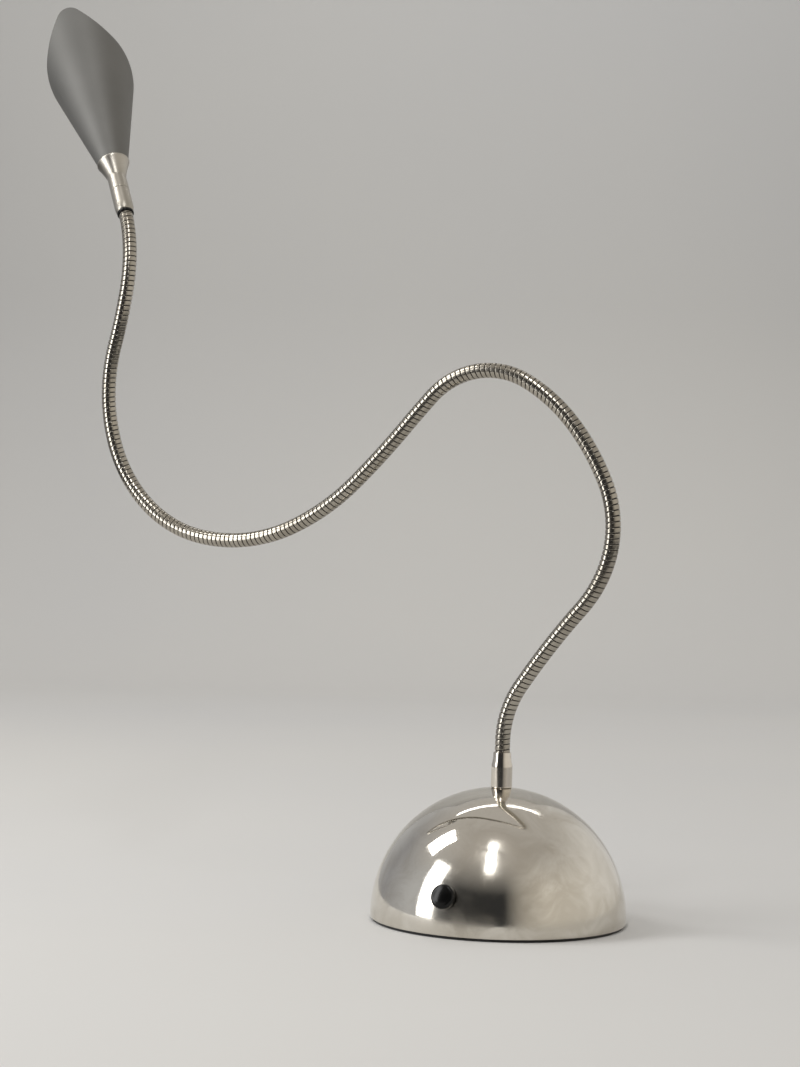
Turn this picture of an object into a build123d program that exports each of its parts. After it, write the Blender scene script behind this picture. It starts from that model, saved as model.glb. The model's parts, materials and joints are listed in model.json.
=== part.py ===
from build123d import *
import math
import os

# A table lamp: a polished dome on a felt pad, a long ribbed gooseneck and a small leaf-shaped shade.
# Lengths are in millimetres and angles in degrees.
# The table is z = 0, and the origin is the centre of the pad's underside.
# The dimmer knob faces -Y. The neck curves in the XZ plane, with the head on the -X side.

os.makedirs("parts", exist_ok=True)

# Clearances
slip = 0.1
running = 0.05
seat = 0.3

# Base: pad, plate, ballast and dome
pad_thickness = 2.0
pad_setback = 2.0
plate_thickness = 2.0
dome_radius = 98.7
dome_skirt = 2.5
dome_wall = 1.5
lug_height = 10.0
lug_width = 16.0
lug_reach = 14.0
lug_angles = (0, 120, 240)
plate_screw_radius = 2.0
plate_screw_head = 4.0
plate_screw_length = 8.0
plate_screw_inset = 8.0
ballast_height = 15.0
ballast_inner_radius = 44.0
ballast_gap = 2.0
ballast_screw_radius = 2.5
ballast_screw_head = 4.5
ballast_screw_length = 9.0
ballast_screw_angles = (60, 180, 300)
cord_slot_gap = 0.5

# Transformer, on the plate inside the ballast ring
core_width = 42.0
core_height = 35.0
core_stack = 18.0
core_leg = 14.0
core_yoke = 7.0
winding_overhang = 8.0
strap_thickness = 1.0
strap_width = 10.0
strap_foot = 11.0
strap_screw_radius = 1.5
strap_screw_head_radius = 2.9
strap_screw_head_height = 2.0

# Terminal block, behind the transformer
terminal_length = 20.0
terminal_depth = 10.0
terminal_height = 12.0
terminal_y = 34.0
terminal_screw_radius = 1.5
terminal_screw_depth = 6.0
terminal_spacing = 9.0

# Dimmer
knob_elevation = 15.0
knob_radius = 9.35
knob_height = 6.4
knob_crown = 1.0
knob_edge_round = 2.4
knob_standoff = 0.8
knob_recess_radius = 7.0
knob_recess_depth = 2.6
spindle_radius = 3.0
spindle_grip = 2.6
spindle_depth = 5.0
bushing_radius = 4.0
bushing_length = 4.0
dimmer_side = 20.0
dimmer_depth = 10.0
dimmer_nut_size = 11.0
dimmer_nut_thickness = 2.0

# Ferrule at the foot of the neck
ferrule_radius = 8.2
ferrule_straight = 16.6
ferrule_shoulder = 4.8
ferrule_shoulder_radius = 7.15
ferrule_top_radius = 6.95
ferrule_height = 27.3
nipple_radius = 5.0
nipple_above = 8.0
nipple_below = 12.0
neck_nut_size = 15.0
neck_nut_thickness = 4.0
neck_washer_radius = 11.0
neck_washer_thickness = 1.5

# Gooseneck: bands with narrow grooves, wound on a hollow core
rib_pitch = 5.2
rib_groove = 1.0
groove_radius = 5.35
band_radius = 5.75
crown_radius = 5.9
bore_radius = 3.4
neck_socket_depth = 13.0
lead_radius = 2.1
lead_start = 58.0

# Each stretch of the neck: its name, and arcs of (ribs, heading at the arc's end, sideways lean there).
# A heading is the angle from straight up towards +X. The bends are where the neck is made to flex.
neck_stretches = (
    ("neck_foot", ((4, 0, 0),)),
    ("neck_bend_1", ((9, 35, 0),)),
    ("neck_span_1", ((3, 36, 0),)),
    ("neck_bend_2", ((12, 42, 0),)),
    ("neck_span_2", ((6, 24, 0),)),
    ("neck_bend_3", ((14, -24, 0),)),
    ("neck_span_3", ((10, -40, 0), (10, -61, 0))),
    ("neck_bend_4", ((17, -136, 0),)),
    ("neck_span_4", ((6, -138, 0), (12, -133, 0), (13, -114, 0))),
    ("neck_bend_5", ((18, -78, 0),)),
    ("neck_span_5", ((11, -48, 0), (12, -18, 0))),
    ("neck_bend_6", ((16, 15.5, 0),)),
    ("neck_span_6", ((8, 6, 6), (15, -31, 21), (2, -31, 21))),
)
ribs_in_sleeve = 2

# Head: end ring, sleeve and cup
end_ring_height = 2.2
end_ring_radius = 7.1
sleeve_length = 24.3
sleeve_radius = 8.1
sleeve_mouth_radius = 7.0
sleeve_mouth_height = 7.0
seam_gap = 0.25
spigot_radius = 5.0
spigot_length = 7.0
spigot_groove_depth = 0.7
spigot_groove_width = 2.0
sleeve_screw_radius = 0.8
sleeve_screw_below_seam = 1.1
sleeve_screw_turn = -25.0
cup_stem = 15.8
cup_flare_height = 17.2
cup_flare_belly = 0.35
cup_rim_radius = 14.0
cup_wall = 1.7
cup_floor = 2.0

# Shade: a cone whose mouth is cut to a leaf
shade_turn = 24.0
shade_foot_radius = 13.0
shade_half_angle = 13.55
shade_wall = 1.0
shade_insert = 3.0
shade_lip_height = 70.0
shade_shoulder_height = 115.0
shade_shoulder_depth = 25.0
shade_cheek_height = 131.0
shade_cheek_half_width = 20.2
shade_tip_height = 147.5
shade_tip_round_height = 5.0
shade_tip_half_width = 10.2

# Lamp: ceramic holder and halogen capsule
holder_radius = 6.4
holder_height = 12.0
holder_screw_radius = 1.0
holder_screw_head_radius = 1.7
holder_screw_head_height = 1.2
holder_screw_offset = 4.4
pin_spacing = 4.0
pin_radius = 0.35
pin_depth = 6.5
capsule_lift = 1.0
pinch_width = 8.4
pinch_thickness = 3.4
pinch_height = 7.5
capsule_radius = 4.75
capsule_height = 22.0
capsule_glass = 0.8
filament_radius = 0.7
filament_length = 4.5
filament_wire = 0.25

# Mains cord: gland, free run, put-away coil, tail and plug
cord_radius = 2.9
cord_lift = 0.1
gland_height = 13.0
gland_neck_radius = 5.4
gland_flange_radius = 8.0
gland_flange_thickness = 2.0
relief_length = 22.0
relief_base_radius = 5.0
relief_tip_radius = 4.0
gland_nut_radius = 7.5
gland_nut_thickness = 3.0
coil_centre_y = 200.0
coil_outer_radius = 46.0
coil_pitch = 6.5
coil_layer_rise = 6.3
coil_turns_per_layer = 3.5
coil_climb_dip = 0.9
plug_length = 36.0
plug_width = 35.0
plug_thickness = 13.6
plug_rear_width = 14.0
plug_rear_thickness = 11.0
plug_lift = 0.1
plug_pin_radius = 2.0
plug_pin_length = 19.0
plug_pin_spacing = 18.6

# Heights and radii that follow from the sizes above
plate_top = pad_thickness + plate_thickness
dome_centre = pad_thickness + dome_skirt
dome_inner_radius = dome_radius - dome_wall
neck_radius = crown_radius
ON = (Align.CENTER, Align.CENTER, Align.MIN)
STEADY = Vector(0, 1, 0)


def save(name, *solids):
    """Write one node, as one solid or several."""
    shape = solids[0] if len(solids) == 1 else Compound(list(solids))
    export_step(shape, f"parts/{name}.step")


def post(radius, height, x=0.0, y=0.0, z=0.0):
    """An upright cylinder standing on the given point."""
    return Pos(x, y, z) * Cylinder(radius, height, align=ON)


def tube(outer, inner, height, z=0.0):
    """An upright tube about the Z axis."""
    return post(outer, height, z=z) - post(inner, height + 2, z=z - 1)


def turned(edges):
    """Turn a closed outline of (radius, height) about the Z axis."""
    return revolve(Plane.XZ * make_face(edges), Axis.Z)


def outline(*points):
    """A closed outline of straight lines."""
    return Polyline(*points, close=True)


def around(radius, angle):
    """The point at a radius and angle from the Z axis."""
    return radius * math.cos(math.radians(angle)), radius * math.sin(math.radians(angle))


def countersunk_screw(radius, head, length, grow=0.0):
    """A screw pointing up from the plate's underside, or its hole when grown."""
    cone = Cone(head + grow, radius + grow, plate_thickness, align=ON)
    shank = Cylinder(radius + grow, plate_thickness + length + grow, align=ON)
    return cone + shank


# Base

def base_pad():
    return post(dome_radius - pad_setback, pad_thickness)


plate_screw_places = [
    around(dome_inner_radius - plate_screw_inset, angle) for angle in lug_angles
]
ballast_outer_radius = dome_inner_radius - lug_reach - ballast_gap
ballast_screw_circle = (ballast_outer_radius + ballast_inner_radius) / 2
ballast_screw_places = [
    around(ballast_screw_circle, angle) for angle in ballast_screw_angles
]


def plate_screws(grow=0.0):
    screw = countersunk_screw(plate_screw_radius, plate_screw_head, plate_screw_length, grow)
    return [Pos(x, y, pad_thickness) * screw for x, y in plate_screw_places]


def ballast_screws(grow=0.0):
    screw = countersunk_screw(ballast_screw_radius, ballast_screw_head, ballast_screw_length, grow)
    return [Pos(x, y, pad_thickness) * screw for x, y in ballast_screw_places]


strap_half_span = core_width / 2 + slip + strap_thickness + strap_foot / 2


def strap_screw_holes():
    return [
        post(strap_screw_radius + running, plate_top + 1, side * strap_half_span, 0, pad_thickness - 1)
        for side in (-1, 1)
    ]


def base_plate():
    plate = post(dome_inner_radius - seat, plate_thickness, z=pad_thickness)
    return plate - plate_screws(running) - ballast_screws(running) - strap_screw_holes()


def ballast_ring():
    ring = tube(ballast_outer_radius, ballast_inner_radius, ballast_height, plate_top)
    slot_width = 2 * (cord_radius + cord_slot_gap)
    slot = Box(slot_width, dome_radius, ballast_height, align=(Align.CENTER, Align.MIN, Align.MIN))
    ring -= Pos(0, 0, gland_height - cord_radius - cord_slot_gap) * slot
    return ring - ballast_screws(running)


def dome_body(radius):
    """A solid dome: a straight skirt under half a sphere."""
    skirt = post(radius, dome_skirt, z=pad_thickness)
    half = Pos(0, 0, dome_centre) * Sphere(radius, arc_size1=0, arc_size2=90, align=ON)
    return skirt + half


knob_plane = Plane(
    origin=(0, 0, dome_centre),
    x_dir=(1, 0, 0),
    z_dir=(0, -math.cos(math.radians(knob_elevation)), math.sin(math.radians(knob_elevation))),
)
dimmer_face = math.sqrt(dome_inner_radius**2 - dimmer_side**2 / 2) - seat
gland_rise = gland_height - dome_centre
gland_flange_y = dome_radius + running
gland_nut_y = (
    math.sqrt(dome_inner_radius**2 - (gland_nut_radius + gland_rise) ** 2 - gland_nut_radius**2) - slip
)
gland_plane = Plane(origin=(0, 0, gland_height), x_dir=(1, 0, 0), z_dir=(0, 1, 0))


def dome_shell():
    outside = dome_body(dome_radius)
    shell = outside - dome_body(dome_inner_radius)
    for angle in lug_angles:
        outward = (Align.MAX, Align.CENTER, Align.MIN)
        block = Box(lug_reach + dome_wall, lug_width, lug_height, align=outward)
        placed = Rot(0, 0, angle) * Pos(dome_radius, 0, plate_top) * block
        shell += placed & outside
    shell -= plate_screws(running)
    shell -= post(nipple_radius + slip, dome_radius, z=dome_centre)
    shell -= knob_plane * Cylinder(bushing_radius + slip, dome_radius + 5, align=ON)
    shell -= gland_plane * Cylinder(gland_neck_radius + slip, dome_radius + 5, align=ON)
    return shell


# Transformer and terminals

window_width = (core_width - core_leg) / 2 - core_yoke
window_height = core_height - 2 * core_yoke


def transformer_core():
    core = Box(core_width, core_stack, core_height, align=ON)
    for side in (-1, 1):
        x = side * (core_leg + window_width) / 2
        core -= Pos(x, 0, core_yoke) * Box(window_width, core_stack + 2, window_height, align=ON)
    return Pos(0, 0, plate_top) * core


def transformer_winding():
    width = core_leg + 2 * window_width - 2 * seat
    height = window_height - 2 * seat
    block = Box(width, core_stack + 2 * winding_overhang, height, align=ON)
    hole = Pos(0, 0, -1) * Box(core_leg + 2 * slip, core_stack + 2 * slip, height + 2, align=ON)
    return Pos(0, 0, plate_top + core_yoke + seat) * (block - hole)


def transformer_strap():
    outer_width = core_width + 2 * slip + 2 * strap_thickness
    top = core_height + slip + strap_thickness
    hoop = Box(outer_width, strap_width, top, align=ON)
    hoop -= Pos(0, 0, -1) * Box(core_width + 2 * slip, strap_width + 2, core_height + slip + 1, align=ON)
    for side in (-1, 1):
        hoop += Pos(side * strap_half_span, 0, 0) * Box(strap_foot, strap_width, strap_thickness, align=ON)
        hoop -= post(strap_screw_radius + running, strap_thickness + 2, side * strap_half_span, 0, -1)
    return Pos(0, 0, plate_top) * hoop


def transformer_screws():
    screws = []
    for side in (-1, 1):
        x = side * strap_half_span
        shank = post(strap_screw_radius, plate_thickness + strap_thickness, x, 0, pad_thickness)
        head = post(strap_screw_head_radius, strap_screw_head_height, x, 0, plate_top + strap_thickness)
        screws.append(shank + head)
    return screws


def terminal_screw_places():
    return [(side * terminal_spacing / 2, terminal_y) for side in (-1, 1)]


def terminal_block():
    block = Pos(0, terminal_y, plate_top) * Box(terminal_length, terminal_depth, terminal_height, align=ON)
    for x, y in terminal_screw_places():
        block -= post(terminal_screw_radius + running, terminal_height, x, y, terminal_screw_floor)
    return block


terminal_screw_floor = plate_top + terminal_height - terminal_screw_depth


def terminal_screws():
    return [
        post(terminal_screw_radius, terminal_screw_depth - 1, x, y, terminal_screw_floor)
        for x, y in terminal_screw_places()
    ]


# Dimmer

knob_foot = dome_radius + knob_standoff
spindle_foot = dimmer_face - spindle_depth
spindle_top = knob_foot + knob_recess_depth + spindle_grip


def dimmer_module():
    body = Pos(0, 0, dimmer_face - dimmer_depth) * Box(dimmer_side, dimmer_side, dimmer_depth, align=ON)
    bushing_top = dome_radius + bushing_length - knob_standoff - dimmer_nut_thickness / 2
    bushing = post(bushing_radius, bushing_top - dimmer_face, z=dimmer_face)
    bore = post(spindle_radius + running, bushing_top, z=spindle_foot - seat)
    return knob_plane * (body + bushing - bore)


def dimmer_nut():
    hexagon = Plane.XY.offset(dome_radius) * RegularPolygon(dimmer_nut_size / 2, 6, major_radius=False)
    nut = extrude(hexagon, dimmer_nut_thickness)
    return knob_plane * (nut - post(bushing_radius + running, 10, z=dome_radius - 5))


def dimmer_spindle():
    return knob_plane * post(spindle_radius, spindle_top - spindle_foot, z=spindle_foot)


def dimmer_knob():
    side_top = knob_foot + knob_height - knob_crown
    face_radius = knob_radius - knob_edge_round
    round_foot = side_top - knob_edge_round
    corner = knob_edge_round * math.sqrt(0.5)
    sphere = (face_radius**2 + knob_crown**2) / (2 * knob_crown)
    crown_middle = side_top + knob_crown - sphere + math.sqrt(sphere**2 - (face_radius / 2) ** 2)
    edges = [
        Line((0, knob_foot), (knob_radius, knob_foot)),
        Line((knob_radius, knob_foot), (knob_radius, round_foot)),
        ThreePointArc(
            (knob_radius, round_foot), (face_radius + corner, round_foot + corner), (face_radius, side_top)
        ),
        ThreePointArc((face_radius, side_top), (face_radius / 2, crown_middle), (0, side_top + knob_crown)),
        Line((0, side_top + knob_crown), (0, knob_foot)),
    ]
    knob = turned(edges)
    knob -= post(knob_recess_radius, knob_recess_depth, z=knob_foot)
    knob -= post(spindle_radius + running, spindle_grip + slip, z=knob_foot + knob_recess_depth)
    return knob_plane * knob


# Ferrule, nipple and nut

ferrule_foot = dome_centre + math.sqrt(dome_radius**2 - (nipple_radius + slip) ** 2)
ferrule_top = ferrule_foot + ferrule_height
neck_start = ferrule_top - neck_socket_depth
nipple_top = ferrule_foot + nipple_above
dome_inner_top = dome_centre + math.sqrt(dome_inner_radius**2 - neck_washer_radius**2)


def neck_ferrule():
    shoulder_start = ferrule_foot + ferrule_straight
    shoulder_end = shoulder_start + ferrule_shoulder
    middle = (ferrule_radius + ferrule_shoulder_radius) / 2 + 0.12
    edges = [
        Line((0, ferrule_foot), (ferrule_radius, ferrule_foot)),
        Line((ferrule_radius, ferrule_foot), (ferrule_radius, shoulder_start)),
        ThreePointArc(
            (ferrule_radius, shoulder_start),
            (middle, (shoulder_start + shoulder_end) / 2),
            (ferrule_shoulder_radius, shoulder_end),
        ),
        Line((ferrule_shoulder_radius, shoulder_end), (ferrule_top_radius, ferrule_top)),
        Line((ferrule_top_radius, ferrule_top), (0, ferrule_top)),
        Line((0, ferrule_top), (0, ferrule_foot)),
    ]
    body = turned(edges)
    body -= post(nipple_radius + running, nipple_above + slip, z=ferrule_foot)
    body -= post(bore_radius, ferrule_height, z=ferrule_foot)
    body -= post(neck_radius + slip, neck_socket_depth, z=neck_start)
    return body


def neck_nipple():
    bottom = dome_inner_top - nipple_below
    return tube(nipple_radius, bore_radius, nipple_top - bottom, bottom)


def neck_washer():
    foot = dome_inner_top - neck_washer_thickness
    return tube(neck_washer_radius, nipple_radius + running, neck_washer_thickness, foot)


def neck_nut():
    bottom = dome_inner_top - neck_washer_thickness - neck_nut_thickness
    hexagon = Plane.XY.offset(bottom) * RegularPolygon(neck_nut_size / 2, 6, major_radius=False)
    return extrude(hexagon, neck_nut_thickness) - post(nipple_radius + running, 20, z=bottom - 5)


# Gooseneck

def direction(heading, lean):
    """The unit vector of a heading in the XZ plane, leaned towards +Y."""
    turn = math.radians(heading)
    tilt = math.radians(lean)
    return Vector(math.sin(turn) * math.cos(tilt), math.sin(tilt), math.cos(turn) * math.cos(tilt))


class Arc:
    """A stretch of the neck's centreline that turns evenly from one direction to another."""

    def __init__(self, start, first, last, length):
        self.start = start
        self.first = first
        self.last = last
        self.length = length
        self.turn = math.radians(first.get_angle(last))
        if self.turn > 1e-6:
            self.inward = (last - first * math.cos(self.turn)) * (1 / math.sin(self.turn))

    def point(self, along):
        if self.turn < 1e-6:
            return self.start + self.first * along
        radius = self.length / self.turn
        angle = along / radius
        sideways = radius * (1 - math.cos(angle))
        return self.start + self.first * (radius * math.sin(angle)) + self.inward * sideways

    def tangent(self, along):
        if self.turn < 1e-6:
            return self.first
        angle = self.turn * along / self.length
        return self.first * math.cos(angle) + self.inward * math.sin(angle)

    def edge(self):
        if self.turn < 1e-6:
            return Edge.make_line(self.start, self.point(self.length))
        return Edge.make_three_point_arc(self.start, self.point(self.length / 2), self.point(self.length))


def section(point, tangent, radius):
    """A circle across the centreline, with its X axis held steady along Y."""
    sideways = STEADY - tangent * STEADY.dot(tangent)
    return Wire.make_circle(radius, Plane(origin=point, x_dir=sideways, z_dir=tangent))


def ribbed(arcs):
    """Ribs lofted through four circles each, with a bore."""
    half_groove = rib_groove / 2
    profile = (
        (0.0, groove_radius),
        (half_groove, band_radius),
        (rib_pitch / 2, crown_radius),
        (rib_pitch - half_groove, band_radius),
    )
    circles = []
    for arc in arcs:
        for rib in range(round(arc.length / rib_pitch)):
            for offset, radius in profile:
                along = rib * rib_pitch + offset
                circles.append(section(arc.point(along), arc.tangent(along), radius))
    last = arcs[-1]
    circles.append(section(last.point(last.length), last.last, groove_radius))
    outside = Solid.make_loft(circles, ruled=True)
    return outside - follow(arcs, bore_radius, 1.0)


def follow(arcs, radius, beyond=0.0, before=0.0):
    """A round bar along the centreline, run straight past its ends."""
    first, last = arcs[0], arcs[-1]
    end = last.point(last.length)
    edges = [arc.edge() for arc in arcs]
    entry = max(beyond, before)
    if entry > 0:
        edges.insert(0, Edge.make_line(first.start - first.first * entry, first.start))
    if beyond > 0:
        edges.append(Edge.make_line(end, end + last.last * beyond))
    start = first.start - first.first * entry
    profile = Plane(origin=start, x_dir=STEADY, z_dir=first.first) * Circle(radius)
    return sweep(profile, path=Wire(edges))


def lay_out_neck():
    """The arcs of every stretch, in order, from the ferrule to the sleeve."""
    place = Vector(0, 0, neck_start)
    facing = direction(0, 0)
    stretches = {}
    for name, pieces in neck_stretches:
        arcs = []
        for ribs, heading, lean in pieces:
            towards = direction(heading, lean)
            arc = Arc(place, facing, towards, ribs * rib_pitch)
            arcs.append(arc)
            place = arc.point(arc.length)
            facing = towards
        stretches[name] = arcs
    return stretches, place, facing


stretches, neck_end, head_axis = lay_out_neck()


# Head. Heights here are along the head's axis from the neck's last rib.

front = Vector(0, -1, 0)
forward = (front - head_axis * front.dot(head_axis)).normalized()
sideways = head_axis.cross(forward)
tongue = forward * math.cos(math.radians(shade_turn)) + sideways * math.sin(math.radians(shade_turn))
head_plane = Plane(origin=neck_end, x_dir=tongue, z_dir=head_axis)
sleeve_foot = -ribs_in_sleeve * rib_pitch
sleeve_top = sleeve_foot + sleeve_length
spigot_foot = sleeve_top - spigot_length
stem_foot = sleeve_top + seam_gap
flare_foot = stem_foot + cup_stem
rim_height = flare_foot + cup_flare_height
cup_inside = flare_foot + cup_floor
shade_slope = math.tan(math.radians(shade_half_angle))
shade_seat = rim_height - shade_insert
shade_plane = head_plane.offset(rim_height)
holder_top = cup_inside + holder_height
screw_height = sleeve_top - sleeve_screw_below_seam


def neck_end_ring():
    foot = sleeve_foot - end_ring_height
    return head_plane * tube(end_ring_radius, neck_radius + slip, end_ring_height, foot)


def across_sleeve(radius, start, length):
    """A cylinder lying across the head's axis at the grub screw's height."""
    bar = Rot(0, 90, 0) * Pos(0, 0, start) * Cylinder(radius, length, align=ON)
    return Pos(0, 0, screw_height) * Rot(0, 0, sleeve_screw_turn) * bar


def head_sleeve():
    mouth_top = sleeve_foot + sleeve_mouth_height
    edges = [
        Line((0, sleeve_foot), (sleeve_mouth_radius, sleeve_foot)),
        ThreePointArc(
            (sleeve_mouth_radius, sleeve_foot),
            (sleeve_radius - 0.25, sleeve_foot + 0.55 * sleeve_mouth_height),
            (sleeve_radius, mouth_top),
        ),
        Line((sleeve_radius, mouth_top), (sleeve_radius, sleeve_top)),
        Line((sleeve_radius, sleeve_top), (0, sleeve_top)),
        Line((0, sleeve_top), (0, sleeve_foot)),
    ]
    sleeve = turned(edges)
    sleeve -= post(neck_radius + slip, -sleeve_foot, z=sleeve_foot)
    sleeve -= post(bore_radius, sleeve_length, z=sleeve_foot)
    sleeve -= post(spigot_radius + running, spigot_length + seat, z=spigot_foot - seat)
    sleeve -= across_sleeve(sleeve_screw_radius + running, 0, sleeve_radius + 2)
    return head_plane * sleeve


def sleeve_screw():
    tip = spigot_radius - spigot_groove_depth + seat
    length = sleeve_radius - 0.2 - tip
    screw = across_sleeve(sleeve_screw_radius, tip, length)
    screw -= across_sleeve(sleeve_screw_radius * 0.55, tip + length - 1.0, 2.0)
    return head_plane * screw


def flare_middle():
    """A point half way up the flare, pulled in from the straight line."""
    radius = (sleeve_radius + cup_rim_radius) / 2 - cup_flare_belly
    return radius, flare_foot + cup_flare_height / 2


def shade_cup():
    step_inner = shade_foot_radius - shade_insert * shade_slope - shade_wall - slip
    step_outer = shade_foot_radius - shade_insert * shade_slope + slip
    floor_radius = sleeve_radius - cup_wall + cup_floor / 4
    edges = [
        Line((0, stem_foot), (sleeve_radius, stem_foot)),
        Line((sleeve_radius, stem_foot), (sleeve_radius, flare_foot)),
        ThreePointArc((sleeve_radius, flare_foot), flare_middle(), (cup_rim_radius, rim_height)),
        Line((cup_rim_radius, rim_height), (shade_foot_radius + slip, rim_height)),
        Line((shade_foot_radius + slip, rim_height), (step_outer, shade_seat)),
        Line((step_outer, shade_seat), (step_inner, shade_seat)),
        Line((step_inner, shade_seat), (floor_radius, cup_inside)),
        Line((floor_radius, cup_inside), (0, cup_inside)),
        Line((0, cup_inside), (0, stem_foot)),
    ]
    spigot = post(spigot_radius, spigot_length + seam_gap, z=spigot_foot)
    groove = tube(
        spigot_radius + 1,
        spigot_radius - spigot_groove_depth,
        spigot_groove_width,
        screw_height - spigot_groove_width / 2,
    )
    cup = turned(edges) + spigot - groove
    cup -= post(lead_radius + slip, cup_inside - spigot_foot + 2, z=spigot_foot - 1)
    for x in (-holder_screw_offset, holder_screw_offset):
        cup -= post(holder_screw_radius + running, cup_floor + 2, x, 0, cup_inside - cup_floor)
    return head_plane * cup


def cone_radius(height):
    """The shade's outer radius at a height above the cup's rim."""
    return shade_foot_radius + height * shade_slope


def shade():
    across = shade_wall / math.cos(math.radians(shade_half_angle))
    top = shade_tip_height + 5
    cone = turned(
        outline(
            (cone_radius(-shade_insert), -shade_insert),
            (cone_radius(top), top),
            (cone_radius(top) - across, top),
            (cone_radius(-shade_insert) - across, -shade_insert),
        )
    )
    far = 2 * cone_radius(top)
    # Seen from the side, the mouth slopes from the front lip up to the shoulder.
    lip = -cone_radius(shade_lip_height)
    slope = (shade_shoulder_depth - lip) / (shade_shoulder_height - shade_lip_height)
    beyond = 20.0
    mouth = outline(
        (lip - slope * beyond, shade_lip_height - beyond),
        (shade_shoulder_depth, shade_shoulder_height),
        (shade_shoulder_depth, top + 10),
        (-far, top + 10),
        (-far, shade_lip_height - beyond),
    )
    cone -= extrude(Plane.XZ * make_face(mouth), far, both=True)
    # Seen from behind, the tongue narrows from the shoulder to a rounded tip.
    shoulder = math.sqrt(cone_radius(shade_shoulder_height) ** 2 - shade_shoulder_depth**2)
    round_start = shade_tip_height - shade_tip_round_height
    leaf = []
    for side in (1, -1):
        leaf.append(
            ThreePointArc(
                (side * shoulder, shade_shoulder_height),
                (side * shade_cheek_half_width, shade_cheek_height),
                (side * shade_tip_half_width, round_start),
            )
        )
        leaf.append(Line((side * shoulder, shade_shoulder_height), (side * far, shade_shoulder_height)))
        leaf.append(Line((side * far, shade_shoulder_height), (side * far, top + 10)))
    leaf.append(
        ThreePointArc(
            (shade_tip_half_width, round_start), (0, shade_tip_height), (-shade_tip_half_width, round_start)
        )
    )
    leaf.append(Line((far, top + 10), (-far, top + 10)))
    cone -= extrude(Plane.YZ * make_face(leaf), far)
    return shade_plane * cone


def lamp_holder():
    holder = post(holder_radius, holder_height, z=cup_inside)
    holder -= post(lead_radius + slip, 3.0, z=cup_inside)
    for side in (-1, 1):
        x = side * holder_screw_offset
        y = side * pin_spacing / 2
        holder -= post(holder_screw_radius + running, holder_height, x, 0, cup_inside)
        holder -= post(pin_radius + slip, pin_depth + seat, 0, y, holder_top - pin_depth - seat)
    return head_plane * holder


def holder_screws():
    screws = []
    for side in (-1, 1):
        x = side * holder_screw_offset
        foot = cup_inside - cup_floor + seat
        shank = post(holder_screw_radius, holder_top - foot, x, 0, foot)
        head = post(holder_screw_head_radius, holder_screw_head_height, x, 0, holder_top)
        screws.append(head_plane * (shank + head))
    return screws


capsule_foot = holder_top + capsule_lift
envelope_foot = capsule_foot + pinch_height


def capsule_solid(radius, foot, top):
    """A round-topped cylinder."""
    return post(radius, top - radius - foot, z=foot) + Pos(0, 0, top - radius) * Sphere(radius)


def lamp_capsule():
    top = envelope_foot + capsule_height
    pinch = Pos(0, 0, capsule_foot) * Box(pinch_thickness, pinch_width, pinch_height + 1, align=ON)
    inside_foot = envelope_foot + 2 * capsule_glass
    inside = capsule_solid(capsule_radius - capsule_glass, inside_foot, top - capsule_glass)
    return head_plane * (pinch + capsule_solid(capsule_radius, envelope_foot, top) - inside)


def lamp_pins():
    foot = holder_top - pin_depth
    length = pin_depth + capsule_lift
    return [head_plane * post(pin_radius, length, 0, side * pin_spacing / 2, foot) for side in (-1, 1)]


def lamp_filament():
    foot = envelope_foot + 2 * capsule_glass
    height = capsule_height / 2 - 2 * capsule_glass
    coil = Pos(0, 0, foot + height) * Rot(90, 0, 0) * Cylinder(filament_radius, filament_length)
    offset = filament_length / 2 - 2 * filament_wire
    legs = post(filament_wire, height, 0, -offset, foot) + post(filament_wire, height, 0, offset, foot)
    return head_plane * (coil + legs)


def head_lead():
    return head_plane * post(lead_radius, cup_inside + 2.5 - spigot_foot, z=spigot_foot)


def save_neck():
    """Ribbed stretches, and the lead inside them, one piece of lead for each bend and the span after it."""
    for name, arcs in stretches.items():
        solid = ribbed(arcs)
        save(name, solid)
        print(name, "volume", round(solid.volume), "faces", len(solid.faces()))
    foot_lead = follow(stretches["neck_foot"], lead_radius, before=neck_start - lead_start)
    save("lead_foot", foot_lead)
    for number in range(1, 7):
        arcs = stretches[f"neck_bend_{number}"] + stretches[f"neck_span_{number}"]
        solid = follow(arcs, lead_radius)
        if number == 6:
            stop = spigot_foot - slip
            solid += head_plane * post(lead_radius, stop)
        length = sum(arc.length for arc in arcs)
        print("lead", number, "volume", round(solid.volume), "of", round(math.pi * lead_radius**2 * length))
        save(f"lead_{number}", solid)
    print("ribs in all", sum(ribs for _, arcs in neck_stretches for ribs, _, _ in arcs))


# Mains cord

relief_end = gland_flange_y + gland_flange_thickness + relief_length
cord_height = cord_radius + cord_lift


def cord_gland():
    foot = gland_nut_y - gland_nut_thickness
    body = post(gland_neck_radius, gland_flange_y - foot, z=foot)
    body += post(gland_flange_radius, gland_flange_thickness, z=gland_flange_y)
    relief = Cone(relief_base_radius, relief_tip_radius, relief_length, align=ON)
    body += Pos(0, 0, gland_flange_y + gland_flange_thickness) * relief
    return gland_plane * (body - post(cord_radius + slip, dome_radius + 60, z=50))


def gland_nut():
    foot = gland_nut_y - gland_nut_thickness
    ring = tube(gland_nut_radius, gland_neck_radius + running, gland_nut_thickness, foot)
    return gland_plane * ring


def inner_cord():
    foot = terminal_y + terminal_depth / 2
    return gland_plane * post(cord_radius, relief_end - foot, z=foot)


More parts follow.
